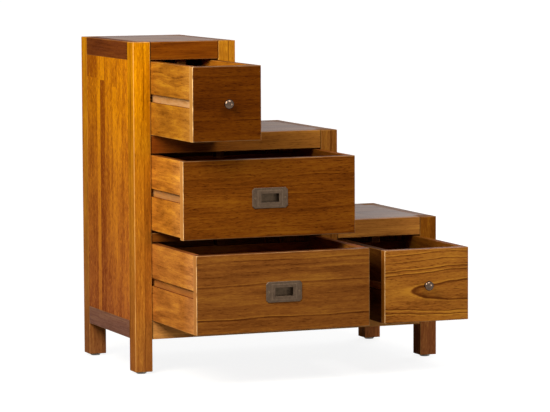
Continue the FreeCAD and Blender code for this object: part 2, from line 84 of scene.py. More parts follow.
# Plantation teak, planed, stained honey brown and sprayed with satin lacquer. The eye sees streaks
# along the board, thin dark lines between some of the years, short pores and a soft sheen.
teak = {
    "order": "XZY",                # axes along the board, across it and through it
    "colour": "#8A4A12",
    "dark": (0.40, 0.32, 0.3),     # what the darkest wood does to that colour, and the palest
    "pale": (1.6, 2.0, 1.6),
    "seed": 1,                     # another trunk for each
    "pith": (-60, 70),             # the trunk's middle from the board's, across and through, mm
    "lean": (0.0, 0.02),           # how fast the trunk's middle moves over along the board
    "sway": 5,                     # how far the rings wander, mm
    "swayLength": 260,             # over which length of board, and which width, mm
    "swayWidth": 90,
    "ring": 9,                     # a year's growth, mm
    "bandDepth": 0.4,
    "line": 24,                    # usual gap between dark lines, mm
    "lineWidth": 1.6,              # 0.5 mm on the wood: drawn wider, to show
    "lineDepth": 0.35,
    "rings": None,                 # or each dark line: radius, width and depth, mm
    "halo": (3.5, 0.6),            # width and strength of the pale spring wood past such a line
    "fading": 0.25,                # what is left of a line where it is faintest
    "fadeStretch": (150, 30),      # length and width of the stretches where lines fade, mm
    "fadeRange": (0.38, 0.6),      # noise where a line is faintest and where it is full
    "streak": (110, 2.6),          # length and width of fine streaks, mm
    "streakDepth": 0.5,
    "fleck": (12, 1.5),            # pores are 0.2 mm wide: drawn wider, to show
    "fleckRange": (0.58, 0.72),    # noise where a pore begins and where it is full
    "fleckDepth": 0.24,
    "glintRange": (0.42, 0.28),    # the same for the paler flecks between the pores
    "glint": 0.1,
    "dash": (42, 4.5),             # length and width of short pale and dark dashes, mm
    "dashDepth": 0.4,
    "patch": (200, 34),            # length and width of broad patches, mm
    "patchDepth": 1.0,
    "staves": (),                  # strips glued side by side: width, place of the joint in it along
    "staveDepth": 1.0,             # the board, and the tones past and before that joint
    "staveShift": (900, 90, 30),   # how far apart two strips' trunks can be, mm
    "seam": 0.0,                   # how dark the glue lines are
    "seamWidth": 1.4,
    "foot": None,                  # painted light and shade at the board's first end: what it does to the colour
    "paintedFootStart": 0.6,              # from there on, 1 is the other end and -1 the first
    "end": None,                   # colour of the sawn ends, and how much of it covers them
    "endCover": 0.8,
    "inner": None,                 # the face inside a drawer: its direction, and the factor of painted shade on it
    "raw": None,                   # colour of grooves cut after the lacquer
    "rawStep": 1,                  # a face this far under the board's own is a groove's floor, mm
    "smear": (45, 9),              # length and width of lacquer smears in a groove, mm
    "smearRange": (0.3, 0.65),     # noise where the groove is bare and where it is smeared,
    "smearCover": (0.95, 0.35),    # and how much raw wood shows there
    "edge": None,                  # painted shade and sheen on the upward faces: what it does to the colour
    "tenon": None,                 # mm from both ends to the joint's shoulder, where dirt gathers
    "dirt": "#1A0C04",
    "dirtReach": (0.8, 2.2),       # mm from the shoulder: dirtiest, and clean
    "dirtCover": 0.8,
    "bare": "#E0A860",             # the pale colour along the arrises: wear of the lacquer, and painted highlight
    "highlightAndWear": 0.25,
    "leftHighlightAndWear": None,              # the same for the board's first end, when it differs
    "leftReach": (3, 5),           # mm from that end: all of its own pale line, and none
    "highlightAndWearReach": (0.7, 1.8),       # mm from an arris: fully pale, and not at all
    "highlightAndWearStretch": (60, 20),       # length and width of the paler stretches, mm
    "highlightAndWearRange": (0.35, 0.6),      # noise where an arris is least pale and where it is full
    "leastHighlightAndWear": 0.3,
    "gloss": 0.0015,               # the lacquer's specular level, low because it soaked in
}
lacquer = {
    "ior": 1.5,
    "streakRange": (0.3, 0.7),     # noise of the darkest streaks and of the palest,
    "roughness": (0.5, 0.34),      # and how rough the lacquer is over them
    "relief": (0.12, 0.3),         # strength and height of the fibres under it, mm
}
apart = {"trunk": (733, 97, 59), "years": 31, "lines": 13}    # what each seed moves the noise by
middle = 0.5                       # the usual value of noise, and the tone of the plain colour
noiseRoughness = 0.6
coreShare = 0.2                    # the darkest part of a line, as a share of its width
sharpShare = 0.4                   # a line's sharp side, as a share of its soft one
lineRoom = 5                       # mm kept past the last of a board's lines


def drawLines(tree, source, marks, halo=0):  # dark lines at given places, and past each a pale halo
    reach = max(place + width for place, width, depth in marks) + lineRoom
    share = addNode(tree, "Math", {0: source, 1: reach}, operation="DIVIDE").outputs[0]
    ramp = addNode(tree, "ValToRGB", {0: share})
    stops = ramp.color_ramp.elements
    stops[0].color = stops[1].color = (0, 0, 0, 1)
    for place, width, depth in marks:
        sharp = width * sharpShare
        steps = [(-width, 0, 0), (0, depth, 0), (sharp, 0, depth if halo else 0)]
        if halo:
            steps.append((sharp + halo, 0, 0))
        for offset, dark, pale in steps:
            stops.new((place + offset) / reach).color = (dark, pale, 0, 1)
    return addNode(tree, "SeparateColor", {0: ramp.outputs["Color"]}).outputs


def layOut(name, look):  # a board's material, with its own axes in mm from its middle
    surface = {"Specular IOR Level": look["gloss"], "IOR": lacquer["ior"]}
    material, tree, shader = newMaterial(f"lacquered_teak_{name}", surface)
    low, high = (Vector(corner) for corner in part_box(name))
    axes = ["XYZ".index(letter) for letter in look["order"]]
    coordinates = addNode(tree, "TexCoord").outputs
    local = addNode(tree, "VectorMath", {
        0: coordinates["Object"], 1: (low + high) / 2,
    }, operation="SUBTRACT").outputs[0]
    parts = addNode(tree, "SeparateXYZ", {0: local}).outputs
    place = addNode(tree, "CombineXYZ", {slot: parts[axis] for slot, axis in enumerate(axes)}).outputs[0]
    place = addNode(tree, "VectorMath", {0: place, "Scale": 1 / millimetre}, operation="SCALE").outputs[0]
    shift = [part * look["seed"] for part in apart["trunk"]]
    return SimpleNamespace(
        material=material, tree=tree, shader=shader, normal=coordinates["Normal"], local=local,
        half=(high - low) / 2, size=[(high - low)[axis] / millimetre for axis in axes],
        along=[float(slot == axes[0]) for slot in range(3)],
        through=[float(slot == axes[2]) for slot in range(3)],
        place=place, flat=addNode(tree, "SeparateXYZ", {0: place}).outputs,
        trunk=addNode(tree, "VectorMath", {0: place, 1: shift}, operation="ADD").outputs[0],
        shades=[],                 # what changes the tone: source, its plain value, its weight
    )


def glueStaves(wood, look):  # strips side by side, some of two lengths, each from a trunk of its own
    tree, length = wood.tree, wood.size[0]
    width = sum(stave[0] for stave in look["staves"])
    across = addNode(tree, "Math", {0: wood.flat["Y"], 1: width / 2}, operation="ADD").outputs[0]
    share = addNode(tree, "Math", {0: across, 1: width}, operation="DIVIDE").outputs[0]
    strips = addNode(tree, "ValToRGB", {0: share})
    strips.color_ramp.interpolation = "CONSTANT"
    stops = strips.color_ramp.elements
    stops.remove(stops[1])
    edge, seams = 0, []
    for number, (own, joint, over, under) in enumerate(look["staves"]):
        stop = stops.new(edge / width) if number else stops[0]
        stop.color = (joint / length + 0.5, over, under, 1)
        edge += own
        seams.append((edge, look["seamWidth"], 1))
    stave = addNode(tree, "SeparateColor", {0: strips.outputs["Color"]}).outputs
    along = addNode(tree, "MapRange", {0: wood.flat["X"], 1: -length / 2, 2: length / 2}).outputs[0]
    upper = addNode(tree, "Math", {0: along, 1: stave[0]}, operation="GREATER_THAN").outputs[0]
    tint = addNode(tree, "Mix", {0: upper, 2: stave[2], 3: stave[1]}).outputs[0]
    wood.shades.append((tint, middle, look["staveDepth"]))
    chance = addNode(tree, "TexWhiteNoise", {"W": tint}, noise_dimensions="1D").outputs["Color"]
    wood.trunk = addNode(tree, "VectorMath", {
        0: chance, 1: look["staveShift"], 2: wood.trunk,
    }, operation="MULTIPLY_ADD").outputs[0]
    if look["seam"]:
        wood.shades.append((drawLines(tree, across, seams[:-1])[0], 0, -look["seam"]))


def grain(wood, length, width, detail):  # noise drawn out along the board
    stretched = addNode(wood.tree, "VectorMath", {
        0: wood.trunk, 1: (1 / length, 1 / width, 1 / width),
    }, operation="MULTIPLY").outputs[0]
    return addNode(wood.tree, "TexNoise", {
        "Vector": stretched, "Scale": 1, "Detail": detail, "Roughness": noiseRoughness,
    }).outputs["Fac"]


def ringRadius(wood, look):  # distance from a pith that leans and sways
    tree = wood.tree
    slow = addNode(tree, "VectorMath", {
        0: wood.trunk, 1: (1 / look["swayLength"], 1 / look["swayWidth"], 1 / look["swayWidth"]),
    }, operation="MULTIPLY").outputs[0]
    sway = addNode(tree, "TexNoise", {"Vector": slow, "Scale": 1, "Detail": 2}).outputs["Color"]
    sway = addNode(tree, "VectorMath", {0: sway, 1: [middle] * 3}, operation="SUBTRACT").outputs[0]
    swayed = addNode(tree, "VectorMath", {
        0: sway, 1: (0, look["sway"] * 2, look["sway"] * 2), 2: wood.place,
    }, operation="MULTIPLY_ADD").outputs[0]
    fromPith = addNode(tree, "VectorMath", {
        0: swayed, 1: (0, *look["pith"]),
    }, operation="SUBTRACT").outputs[0]
    leanAcross, leanThrough = look["lean"]
    across = addNode(tree, "VectorMath", {0: fromPith, 1: (leanAcross, 1, 0)}, operation="DOT_PRODUCT")
    through = addNode(tree, "VectorMath", {0: fromPith, 1: (leanThrough, 0, 1)}, operation="DOT_PRODUCT")
    radial = addNode(tree, "CombineXYZ", {1: across.outputs["Value"], 2: through.outputs["Value"]})
    return addNode(tree, "VectorMath", {0: radial.outputs[0]}, operation="LENGTH").outputs["Value"]


def growRings(wood, look):  # pale and dark years, and thin dark lines between some of them
    tree, seed = wood.tree, look["seed"]
    radius = ringRadius(wood, look)
    years = addNode(tree, "Math", {
        0: radius, 1: 1 / look["ring"], 2: seed * apart["years"],
    }, operation="MULTIPLY_ADD").outputs[0]
    bands = addNode(tree, "TexNoise", {
        "W": years, "Scale": 1, "Detail": 3, "Roughness": noiseRoughness,
    }, noise_dimensions="1D").outputs["Fac"]
    wood.shades.append((bands, middle, look["bandDepth"]))
    faint, full = look["fadeRange"]
    fading = addNode(tree, "MapRange", {
        0: grain(wood, *look["fadeStretch"], detail=1), 1: faint, 2: full, 3: look["fading"], 4: 1,
    }).outputs[0]
    if look["rings"]:
        lines, halos = drawLines(tree, radius, look["rings"], look["halo"][0])[:2]
    else:
        spaced = addNode(tree, "Math", {
            0: radius, 1: 1 / look["line"], 2: seed * apart["lines"],
        }, operation="MULTIPLY_ADD").outputs[0]
        cells = addNode(tree, "TexVoronoi", {"W": spaced, "Scale": 1}, voronoi_dimensions="1D").outputs
        thin = look["lineWidth"] / look["line"]
        lines = addNode(tree, "MapRange", {
            0: cells["Distance"], 1: thin * coreShare, 2: thin, 3: look["lineDepth"], 4: 0,
        }).outputs[0]
        own = addNode(tree, "SeparateColor", {0: cells["Color"]}).outputs[0]
        lines = addNode(tree, "Math", {0: lines, 1: own}, operation="MULTIPLY").outputs[0]
    lines = addNode(tree, "Math", {0: lines, 1: fading}, operation="MULTIPLY").outputs[0]
    wood.shades.append((lines, 0, -1))
    if look["rings"]:
        halos = addNode(tree, "Math", {0: halos, 1: fading}, operation="MULTIPLY").outputs[0]
        wood.shades.append((halos, 0, look["halo"][1]))


def growFibres(wood, look):  # streaks, pores with paler flecks between them, dashes and broad patches
    wood.streaks = grain(wood, *look["streak"], detail=3)
    wood.shades.append((wood.streaks, middle, look["streakDepth"]))
    pores = grain(wood, *look["fleck"], detail=1)
    for kind, depth in (("fleck", -look["fleckDepth"]), ("glint", look["glint"])):
        start, full = look[f"{kind}Range"]
        flecks = addNode(wood.tree, "MapRange", {0: pores, 1: start, 2: full}).outputs[0]
        wood.shades.append((flecks, 0, depth))
    wood.shades.append((grain(wood, *look["dash"], detail=2), middle, look["dashDepth"]))
    wood.shades.append((grain(wood, *look["patch"], detail=2), middle, look["patchDepth"]))


def mixTones(wood, look):  # the tone picks a colour between the darkest wood and the palest
    tree = wood.tree
    tone = middle
    for source, plain, weight in wood.shades:
        moved = addNode(tree, "Math", {0: source, 1: plain}, operation="SUBTRACT").outputs[0]
        tone = addNode(tree, "Math", {0: moved, 1: weight, 2: tone}, operation="MULTIPLY_ADD").outputs[0]
    ramp = addNode(tree, "ValToRGB", {0: tone})
    own = linear(look["colour"])
    stops = ramp.color_ramp.elements
    stops[0].color = [part * share for part, share in zip(own, (*look["dark"], 1))]
    stops[1].color = [min(part * share, 1) for part, share in zip(own, (*look["pale"], 1))]
    stops.new(middle).color = own
    wood.colour = ramp.outputs["Color"]


def blend(wood, share, other, kind="MIX"):  # lays another colour over the board's
    mixed = addNode(wood.tree, "Mix", {
        0: share, 6: wood.colour, 7: other,
    }, data_type="RGBA", blend_type=kind)
    wood.colour = mixed.outputs[2]


def facing(wood, direction, both=False):  # 1 on the faces that look that way, or either way
    seen = addNode(wood.tree, "VectorMath", {0: wood.normal, 1: direction}, operation="DOT_PRODUCT")
    seen = seen.outputs["Value"]
    if both:
        seen = addNode(wood.tree, "Math", {0: seen}, operation="ABSOLUTE").outputs[0]
    return addNode(wood.tree, "Math", {0: seen, 1: facingShare}, operation="GREATER_THAN").outputs[0]


def paintLightAndShadeAtFoot(wood, look):  # painted light and shade at the first end, less and less towards the other end
    half = wood.size[0] / 2
    lowness = addNode(wood.tree, "MapRange", {0: wood.flat["X"], 1: half * look["paintedFootStart"], 2: -half})
    blend(wood, lowness.outputs[0], (*look["foot"], 1), "MULTIPLY")


def highlightAndWearArrises(wood, look):  # a pale line where two faces meet, stronger in some stretches: wear, and painted highlight
    tree = wood.tree
    gaps = addNode(tree, "VectorMath", {0: wood.local}, operation="ABSOLUTE").outputs[0]
    gaps = addNode(tree, "VectorMath", {0: wood.half, 1: gaps}, operation="SUBTRACT").outputs[0]
    gaps = addNode(tree, "SeparateXYZ", {0: gaps}).outputs    # the middle one is the arris's distance
    near = addNode(tree, "Math", {0: gaps["X"], 1: gaps["Y"]}, operation="MINIMUM").outputs[0]
    far = addNode(tree, "Math", {0: gaps["X"], 1: gaps["Y"]}, operation="MAXIMUM").outputs[0]
    far = addNode(tree, "Math", {0: far, 1: gaps["Z"]}, operation="MINIMUM").outputs[0]
    arris = addNode(tree, "Math", {0: near, 1: far}, operation="MAXIMUM").outputs[0]
    worst, none = (reach * millimetre for reach in look["highlightAndWearReach"])
    worn = addNode(tree, "MapRange", {0: arris, 1: worst, 2: none, 3: 1, 4: 0}).outputs[0]
    firstEnd = -wood.size[0] / 2
    own, usual = (firstEnd + reach for reach in look["leftReach"])
    much = addNode(tree, "MapRange", {
        0: wood.flat["X"], 1: own, 2: usual, 3: look["leftHighlightAndWear"] or look["highlightAndWear"], 4: look["highlightAndWear"],
    }).outputs[0]
    worn = addNode(tree, "Math", {0: worn, 1: much}, operation="MULTIPLY").outputs[0]
    least, full = look["highlightAndWearRange"]
    unevenly = addNode(tree, "MapRange", {
        0: grain(wood, *look["highlightAndWearStretch"], detail=2), 1: least, 2: full, 3: look["leastHighlightAndWear"], 4: 1,
    }).outputs[0]
    worn = addNode(tree, "Math", {0: worn, 1: unevenly}, operation="MULTIPLY").outputs[0]
    blend(wood, worn, linear(look["bare"]))


def dirtyShoulders(wood, look):  # a thin dark line where a rail meets its posts
    tree = wood.tree
    past = addNode(tree, "Math", {0: wood.flat["X"]}, operation="ABSOLUTE").outputs[0]
    shoulder = wood.size[0] / 2 - look["tenon"]
    past = addNode(tree, "Math", {0: past, 1: shoulder}, operation="SUBTRACT").outputs[0]
    past = addNode(tree, "Math", {0: past}, operation="ABSOLUTE").outputs[0]
    worst, none = look["dirtReach"]
    dirt = addNode(tree, "MapRange", {0: past, 1: worst, 2: none, 3: look["dirtCover"], 4: 0}).outputs[0]
    blend(wood, dirt, linear(look["dirt"]))


def bareGrooves(wood, look):  # raw wood in the grooves, with some lacquer smeared into them
    tree = wood.tree
    under = addNode(tree, "Math", {0: wood.flat["Z"]}, operation="ABSOLUTE").outputs[0]
    under = addNode(tree, "Math", {
        0: under, 1: wood.size[2] / 2 - look["rawStep"],
    }, operation="LESS_THAN").outputs[0]
    level = facing(wood, wood.through, both=True)
    cut = addNode(tree, "Math", {0: under, 1: level}, operation="MULTIPLY").outputs[0]
    (bare, smeared), (most, least) = look["smearRange"], look["smearCover"]
    cover = addNode(tree, "MapRange", {
        0: grain(wood, *look["smear"], detail=2), 1: bare, 2: smeared, 3: most, 4: least,
    }).outputs[0]
    cut = addNode(tree, "Math", {0: cut, 1: cover}, operation="MULTIPLY").outputs[0]
    blend(wood, cut, linear(look["raw"]))


def sprayLacquer(wood):  # rougher where dark, coarse fibres drank it
    tree, inputs = wood.tree, wood.shader.inputs
    (dark, pale), (rough, smooth) = lacquer["streakRange"], lacquer["roughness"]
    roughness = addNode(tree, "MapRange", {0: wood.streaks, 1: dark, 2: pale, 3: rough, 4: smooth})
    strength, height = lacquer["relief"]
    relief = {"Height": wood.streaks, "Strength": strength, "Distance": height * millimetre}
    tree.links.new(wood.colour, inputs["Base Color"])
    tree.links.new(roughness.outputs[0], inputs["Roughness"])
    tree.links.new(addNode(tree, "Bump", relief).outputs[0], inputs["Normal"])


def teakBoard(name, **changes):
    look = {**teak, **changes}
    wood = layOut(name, look)
    if look["staves"]:
        glueStaves(wood, look)
    growRings(wood, look)
    growFibres(wood, look)
    mixTones(wood, look)
    if look["foot"]:
        paintLightAndShadeAtFoot(wood, look)
    highlightAndWearArrises(wood, look)
    if look["tenon"]:
        dirtyShoulders(wood, look)
    # painted shade and sheen: upward faces darker and greyer
    if look["edge"]:
        blend(wood, facing(wood, (0, 0, 1)), (*look["edge"], 1), "MULTIPLY")
    # painted shade on the faces inside a drawer
    if look["inner"]:
        direction, factor = look["inner"]
        blend(wood, facing(wood, direction), (*factor, 1), "MULTIPLY")
    if look["end"]:
        ends = facing(wood, wood.along, both=True)
        sawn = addNode(wood.tree, "Math", {0: ends, 1: look["endCover"]}, operation="MULTIPLY").outputs[0]
        blend(wood, sawn, linear(look["end"]))
    if look["raw"]:
        bareGrooves(wood, look)
    sprayLacquer(wood)
    paint(name, wood.material)


# Posts: a wide strip and a narrow one glued together, pale sapwood in some of them
postLook = {
    "order": "ZXY", "colour": "#9A5C1C", "pith": (-90, 60), "lean": (0.01, 0.03), "sway": 5,
    "staves": ((24, 0, 0.55, 0.55), (16, 0, 0.45, 0.45)), "seam": 0.12, "line": 18, "lineDepth": 0.5,
    "bandDepth": 0.3, "streakDepth": 0.4, "patchDepth": 0.9, "dashDepth": 0.5, "fleckDepth": 0.3,
    # The ends are darker end grain, darkened further as painted shade and sheen of the upward ends.
    "glint": 0.3, "end": "#6E4822", "highlightAndWear": 0.35,
}
ownPosts = {                       # a foot paints light and shade low on a post: darker on the left ones, paler on the right ones, with a bluish painted reflection. Its third factor is large, as the stain holds hardly any blue
    # the front-left post's strong pale arris is mostly painted highlight
    "front_left_post": {"colour": "#BA7504", "seam": 0.5, "highlightAndWear": 0.9, "foot": (0.76, 0.68, 20)},
    "front_tall_post": {"colour": "#A26716", "seam": 0.8},
    "front_mid_post": {"colour": "#84501E", "seam": 0.8},
    "front_right_post": {"colour": "#7D4610", "foot": (1.9, 2.1, 8)},
    "rear_left_post": {"colour": "#C0770B", "foot": (0.58, 0.58, 10)},
    "rear_right_post": {"foot": (2.0, 2.0, 6)},
}
for number, name in enumerate(name for name in nodes if name.endswith("_post")):
    teakBoard(name, **{**postLook, "seed": number + 3, **ownPosts.get(name, {})})

# Rails: darker heartwood, tenoned into the posts, their upper faces darkened and greyed as painted shade and
# sheen
railEnd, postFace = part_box("front_top_rail")[0][0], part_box("front_left_post")[1][0]
railLook = {
    "colour": "#7A481A", "pith": (-70, 50), "sway": 6, "gloss": 0.015, "edge": (0.6, 0.62, 0.9),
    "tenon": (postFace - railEnd) / millimetre,
}
ownRails = {
    "front_top_rail": {"colour": "#6E3706"},
    "front_mid_rail": {"colour": "#A06727", "foot": (0.62, 0.32, 0.15)},    # darkest at its left end: painted shadow of the top drawer
    "front_low_rail": {"colour": "#B07331"},
    # paler than the other rails: painted light on a rail in the drawers' shade
    "front_bottom_rail": {"colour": "#DC9850"},
    "front_thin_rail": {"colour": "#7A4212"},
    "left_top_rail": {"colour": "#6D3610", "gloss": 0.0015},
    "left_bottom_rail": {"colour": "#7C4E39"},
}
for number, name in enumerate(name for name in nodes if name.endswith("_rail")):
    order = "XZY" if name.startswith(("front", "rear")) else "YZX"
    teakBoard(name, **{**railLook, "order": order, "seed": number + 21, **ownRails.get(name, {})})

# Side panels: staves from the front to the back. A joint far below the board is no joint.
noJoint = -700
panelLook = {
    "order": "ZYX", "colour": "#A85E14", "pale": (1.55, 1.7, 1.2), "dark": (0.5, 0.34, 0.3),
    "pith": (-70, 60), "seam": 0.55, "staveDepth": 1.5, "line": 14, "lineDepth": 0.5,
    "fleck": (10, 2), "fleckDepth": 0.6, "glint": 0.7, "patch": (110, 36), "patchDepth": 0.8,
    "dash": (34, 6), "streak": (160, 4), "streakDepth": 0.35,
}
ownPanels = {
    "left_side_panel": {
        "colour": "#BC6E08", "pale": (1.55, 1.9, 1.2), "patchDepth": 1.05, "dashDepth": 0.7,
        # darker and bluer low down: painted shade, and a painted reflection of the floor
        "foot": (0.74, 0.64, 10),
        "staves": ((72, noJoint, 0.58, 0.56), (34, 225, 0.5, 0.66), (52, 232, 0.6, 0.5),
                   (30, 236, 0.74, 0.28), (22, 236, 0.66, 0.82), (70, 240, 0.3, 0.46)),
    },
    "tall_riser_panel": {
        "staves": ((100, -60, 0.6, 0.42), (70, noJoint, 0.5, 0.5), (50, 20, 0.45, 0.62),
                   (60, 90, 0.6, 0.4)),
    },
    "mid_riser_panel": {
        "staves": ((60, 60, 0.5, 0.4), (60, -20, 0.64, 0.46), (90, noJoint, 0.5, 0.55),
                   (70, 30, 0.42, 0.58)),
    },
    "right_side_panel": {
        "staves": ((90, 20, 0.5, 0.38), (60, -10, 0.62, 0.44), (75, 40, 0.4, 0.6),
                   (55, noJoint, 0.5, 0.56)),
    },
}
for number, (name, own) in enumerate(ownPanels.items()):
    teakBoard(name, **{**panelLook, "seed": number + 41, **own})

# Step tops: four staves each, polished by use, the highest most
topLook = {
    "order": "XYZ", "colour": "#5C3A22", "pith": (-70, 60), "seam": 0.3, "highlightAndWear": 0.05,
    "staves": ((70, noJoint, 0.5, 0.56), (90, 0, 0.4, 0.6), (60, noJoint, 0.62, 0.44),
               (90, 30, 0.5, 0.38)),
}
polish = {"tall_step_top": 0.1, "mid_step_top": 0.08, "low_step_top": 0.066}
for number, name in enumerate(name for name in nodes if name.endswith("step_top")):
    teakBoard(name, **topLook, seed=number + 51, gloss=polish[name])

# Drawer fronts, each with the lines of its own board, and a pale line along the left arris: painted
# highlight, and wear
# Upward faces of fronts and boxes: darker and greyer, as painted shade and sheen
upwardShadeAndSheen = (0.4, 0.32, 0.4)
frontLook = {
    "edge": upwardShadeAndSheen, "bare": "#F0C890", "highlightAndWear": 0.3, "leftHighlightAndWear": 1.0, "gloss": 0.01,
    "fading": 0.15, "streakDepth": 0.4, "dashDepth": 0.35, "fleck": (12, 1.4), "fleckDepth": 0.5,
    "glint": 0.25,
}
# The fronts' pale sawn ends are painted highlight; the side drawer's darker end is painted shade.
ownFronts = {
    "top_drawer_front": {
        "colour": "#542804", "pith": (-300, 90), "sway": 5, "end": "#C08840", "streakDepth": 0.3,
        "rings": ((200, 10, 0.2), (255, 8, 0.2), (283, 3, 0.6), (322, 9, 0.2), (345, 3, 0.25),
                  (372, 8, 0.2)),
    },
    "upper_drawer_front": {
        "colour": "#6C390B", "pith": (-300, 90), "sway": 9, "swayLength": 240, "end": "#CC8C44",
        "rings": ((236, 16, 0.35), (258, 2.5, 0.5), (292, 8, 0.15), (325, 2, 0.5), (341, 2, 0.4),
                  (362, 2, 0.5), (391, 3, 0.5)),
    },
    "lower_drawer_front": {
        "colour": "#7C491B", "pith": (-260, 80), "sway": 9, "swayLength": 220, "end": "#C08040",
        "rings": ((223, 3, 0.9), (248, 12, 0.15), (268, 4, 0.15), (292, 2.5, 0.5), (318, 9, 0.3),
                  (330, 5, 0.3), (340, 3, 0.4)),
        "fading": 0.45, "fleckDepth": 0.3,
    },
    "side_drawer_front": {         # a flat-sawn board, with a pointed figure round the knob
        "colour": "#965B20", "pith": (-13, 19), "lean": (-0.01, 0.075), "sway": 6, "swayLength": 100,
        "rings": ((31, 2.4, 1), (51, 1.8, 0.9), (58, 1.8, 1), (74, 1.8, 0.6), (88, 2.2, 0.6)),
        "fading": 0.7, "end": "#8A5418",
    },
}
for number, (name, own) in enumerate(ownFronts.items()):
    teakBoard(name, **{**frontLook, "seed": number + 61, **own})

# Drawer boxes: cloudy boards with raw running grooves. Inside, the wood is darkened: painted shade.
boxLook = {
    "pith": (-30, 60), "lean": (0.05, 0.08), "sway": 12, "swayLength": 140, "bandDepth": 0.6,
    "line": 20, "lineDepth": 0.25, "fleckDepth": 0.3, "streak": (120, 5), "patch": (90, 22),
    "patchDepth": 1.1, "edge": upwardShadeAndSheen,
}
plywood = {                        # a peeled face: broad, calm figure
    "pith": (0, 300), "ring": 40, "lineDepth": 0.1, "fleckDepth": 0.15, "patchDepth": 0.7,
    "pale": (1.5, 1.6, 1.5),
}
boxes = {
    "top_drawer": {"colour": "#A4671A", "groove": "#C89C6C", "inside": (1, 0.95, 0.9)},
    "upper_drawer": {"colour": "#BC7424", "groove": "#B48658", "inside": (0.45, 0.4, 0.4)},
    "lower_drawer": {"colour": "#B8722E", "groove": "#A86C38", "inside": (0.6, 0.6, 0.6)},
    "side_drawer": {"colour": "#A86A20", "groove": "#B48658", "inside": (0.45, 0.4, 0.4)},
}
paintedLightAtFrontEnd = {"foot": (1.15, 1.3, 2.4), "paintedFootStart": -0.55}     # painted light: paler and bluer towards the fronts
# The side drawer's left side is dark all over: painted shade, where the lower drawer shades it.
ownSides = {
    "top_drawer_left_side": paintedLightAtFrontEnd, "upper_drawer_left_side": paintedLightAtFrontEnd,
    "lower_drawer_left_side": paintedLightAtFrontEnd, "side_drawer_left_side": {"colour": "#4A2A0C"},
}
inwards = {"left_side": (1, 0, 0), "right_side": (-1, 0, 0), "back": (0, -1, 0), "bottom": (0, 0, 1)}
for number, (drawer, box) in enumerate(boxes.items()):
    for offset, part in enumerate(("left_side", "right_side", "back")):
        name = f"{drawer}_{part}"
        cut = {"order": "XZY" if part == "back" else "YZX", "seed": number * 5 + offset + 71}
        own = {"colour": box["colour"], "raw": box["groove"], "inner": (inwards[part], box["inside"])}
        teakBoard(name, **{**boxLook, **cut, **own, **ownSides.get(name, {})})
    teakBoard(f"{drawer}_bottom", **plywood, order="XYZ", colour="#A26A34", seed=number + 101,
              inner=(inwards["bottom"], box["inside"]))

# Thin backs of plywood, and plain dark strips for the runners and stops
for number, name in enumerate(name for name in nodes if name.endswith("back_panel")):
    teakBoard(name, **plywood, colour="#9A6030", seed=number + 111)
for name in ("drawer_runners", "stop_blocks"):
    teakBoard(name, order="YZX", colour="#5E3A1C", seed=len(name), lineDepth=0.1)
print("boards grown:", len(bpy.data.materials))


# Cast metal: slow clouds of darker and paler skin, the paler ones smoother. The eye sees use.
metalCloud = {
    "range": (0.3, 0.7),           # noise of the darkest skin and of the palest,
    "tone": (0.8, 1.2),            # what they do to the colour,
    "roughness": (1.25, 0.8),      # and to the roughness
}


def metal(name, colour, roughness, cloud):  # cloud: a cloud's usual size, mm
    material, tree, shader = newMaterial(name, {"Metallic": 1})
    clouds = addNode(tree, "TexNoise", {
        "Vector": addNode(tree, "TexCoord").outputs["Object"], "Scale": 1 / (cloud * millimetre),
        "Detail": 4, "Roughness": noiseRoughness,
    }).outputs["Fac"]
    ramp = addNode(tree, "ValToRGB", {0: clouds})
    for stop, position, tone in zip(ramp.color_ramp.elements, metalCloud["range"], metalCloud["tone"]):
        stop.position = position
        stop.color = [part * tone for part in linear(colour)[:3]] + [1]
    tree.links.new(ramp.outputs["Color"], shader.inputs["Base Color"])
    dark, pale = metalCloud["range"]
    dull, bright = (roughness * share for share in metalCloud["roughness"])
    rough = addNode(tree, "MapRange", {0: clouds, 1: dark, 2: pale, 3: dull, 4: bright})
    tree.links.new(rough.outputs[0], shader.inputs["Roughness"])
    return material, tree, ramp.outputs["Color"]


